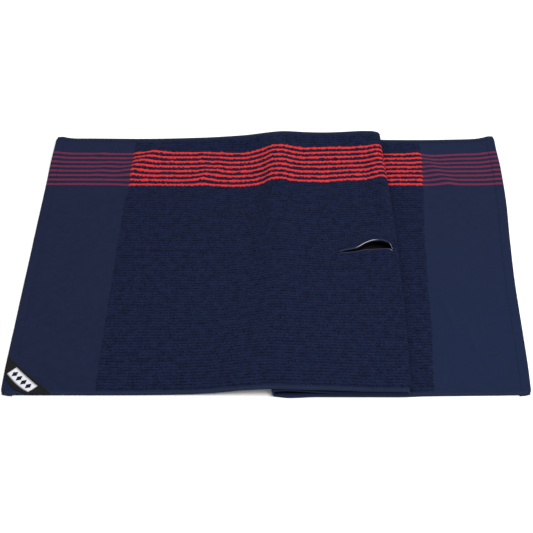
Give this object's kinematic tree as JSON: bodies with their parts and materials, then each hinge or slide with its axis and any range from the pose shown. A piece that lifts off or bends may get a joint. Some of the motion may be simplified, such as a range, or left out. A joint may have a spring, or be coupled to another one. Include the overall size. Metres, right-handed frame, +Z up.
{
  "type": "golf towel",
  "caption": "Large woven caddie-style golf towel laid in a three-layer Z fold, with a black-bound club slit at its middle, striped back edge, flat-woven ends and a corner label.",
  "frame": {"origin": "centre of the laid towel's footprint, on the surface that it lies on", "axes": "+X along the towel's length, from its label end to the end of the lower layer; +Y across it, from the edge with the label to the striped edge; +Z up"},
  "size_m": [0.675, 0.5106, 0.0191],
  "materials": {
    "terry": "looped cotton terry",
    "flat_weave": "flat dobby weave",
    "hem": "folded plain-weave hem",
    "thread": "lockstitch polyester thread",
    "black_tape": "woven binding tape",
    "label": "woven damask label",
    "badge": "satin-stitched embroidery"
  },
  "bodies": {
    "lower_panel": {"lower_terry": "terry", "lower_fold_terry": "terry", "front_hem_lower": "hem", "back_hem_lower": "hem", "front_hem_lower_fold": "hem", "back_hem_lower_fold": "hem", "right_end_border": "flat_weave", "right_end_hem": "hem", "front_stitching_lower": "thread", "back_stitching_lower": "thread", "right_end_stitching": "thread"},
    "middle_panel": {"middle_terry": "terry", "front_hem_middle": "hem", "back_hem_middle": "hem", "slit_binding_middle": "black_tape", "slit_bartack_middle": "black_tape", "front_stitching_middle": "thread", "back_stitching_middle": "thread"},
    "upper_panel": {"left_end_hem": "hem", "left_end_border": "flat_weave", "upper_terry": "terry", "front_hem_upper": "hem", "back_hem_upper": "hem", "upper_fold_terry_front": "terry", "upper_fold_terry_back": "terry", "front_hem_upper_fold": "hem", "back_hem_upper_fold": "hem", "slit_binding_upper": "black_tape", "slit_binding_fold_front": "black_tape", "slit_binding_fold_back": "black_tape", "slit_bartack_upper": "black_tape", "label_patch": "label", "label_badge": "badge", "label_stitching": "thread", "front_stitching_upper": "thread", "back_stitching_upper": "thread", "left_end_stitching": "thread"}
  },
  "joints": [
    {"name": "lower_fold", "type": "hinge", "parent": "lower_panel", "child": "middle_panel", "pos_m": [0.001, 0, 0.00585], "axis": [0, -1, 0], "range_deg": [0, 178], "deforming": ["lower_fold_terry", "front_hem_lower_fold", "back_hem_lower_fold"]},
    {"name": "upper_fold", "type": "hinge", "parent": "middle_panel", "child": "upper_panel", "pos_m": [0.1745, 0, 0.00875], "axis": [0, -1, 0], "range_deg": [-178, 0], "deforming": ["upper_fold_terry_front", "upper_fold_terry_back", "front_hem_upper_fold", "back_hem_upper_fold", "slit_binding_fold_front", "slit_binding_fold_back"]}
  ],
  "couplings": [
    {"joint": "upper_fold", "follows": "lower_fold", "ratio": -1}
  ]
}
